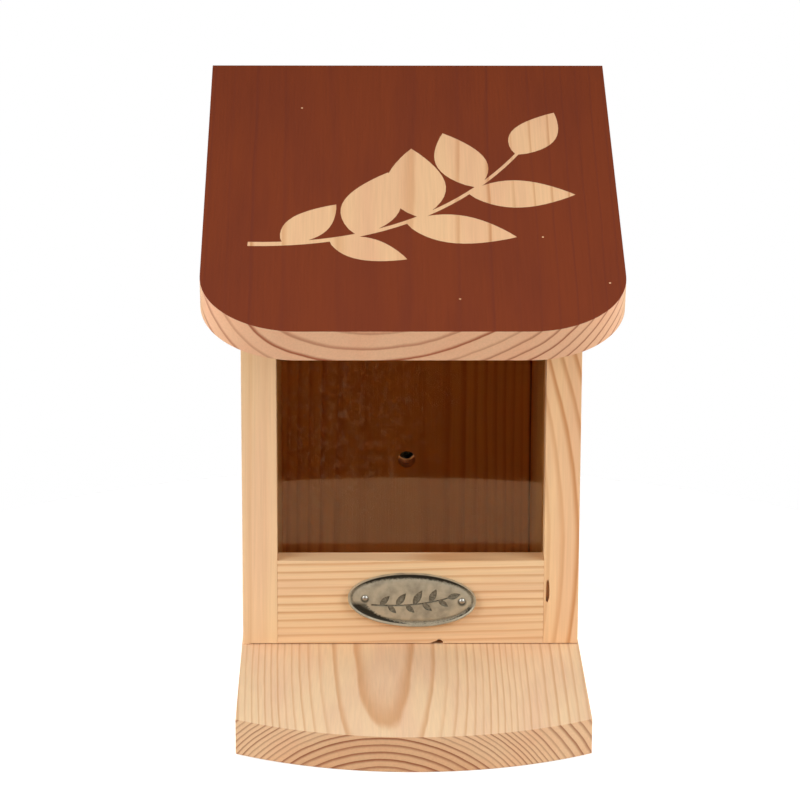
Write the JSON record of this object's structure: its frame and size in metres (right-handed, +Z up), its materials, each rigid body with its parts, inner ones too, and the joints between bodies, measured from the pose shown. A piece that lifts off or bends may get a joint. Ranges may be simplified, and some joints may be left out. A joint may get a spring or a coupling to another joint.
{
  "type": "squirrel feeder",
  "caption": "Wooden squirrel feeder: a windowed nut bin on a bowed tray, under a stained sloping lid hinged at the back.",
  "frame": {"origin": "centre of the base board's underside", "axes": "+Z up, +Y from the tray to the back board, +X to the right as seen from the front"},
  "size_m": [0.1766, 0.2583, 0.2452],
  "materials": {
    "pale_wood": "planed softwood, left bare",
    "stained_wood": "planed softwood, satin brown stain on top with a bare leaf pattern",
    "clear_acrylic": "clear sheet with light scuffs",
    "aged_zinc": "cast and darkened in the hollows",
    "steel_hardware": "zinc plated"
  },
  "bodies": {
    "box": {"base_board": "pale_wood", "left_side": "pale_wood", "right_side": "pale_wood", "back_board": "pale_wood", "front_rail": "pale_wood", "window_pane": "clear_acrylic", "left_hinge_box_leaf": "steel_hardware", "right_hinge_box_leaf": "steel_hardware", "left_hinge_pin": "steel_hardware", "right_hinge_pin": "steel_hardware", "hinge_box_screws": "steel_hardware", "front_plate": "aged_zinc", "plate_nails": "steel_hardware", "base_screws": "steel_hardware", "rail_screws": "steel_hardware", "back_screws": "steel_hardware"},
    "lid": {"lid_board": "stained_wood", "left_hinge_lid_leaf": "steel_hardware", "right_hinge_lid_leaf": "steel_hardware", "hinge_lid_screws": "steel_hardware"}
  },
  "joints": [
    {"name": "lid_hinge", "type": "hinge", "parent": "box", "child": "lid", "pos_m": [0, 0.1293, 0.23209], "axis": [-1, 0, 0], "range_deg": [0, 110]}
  ]
}
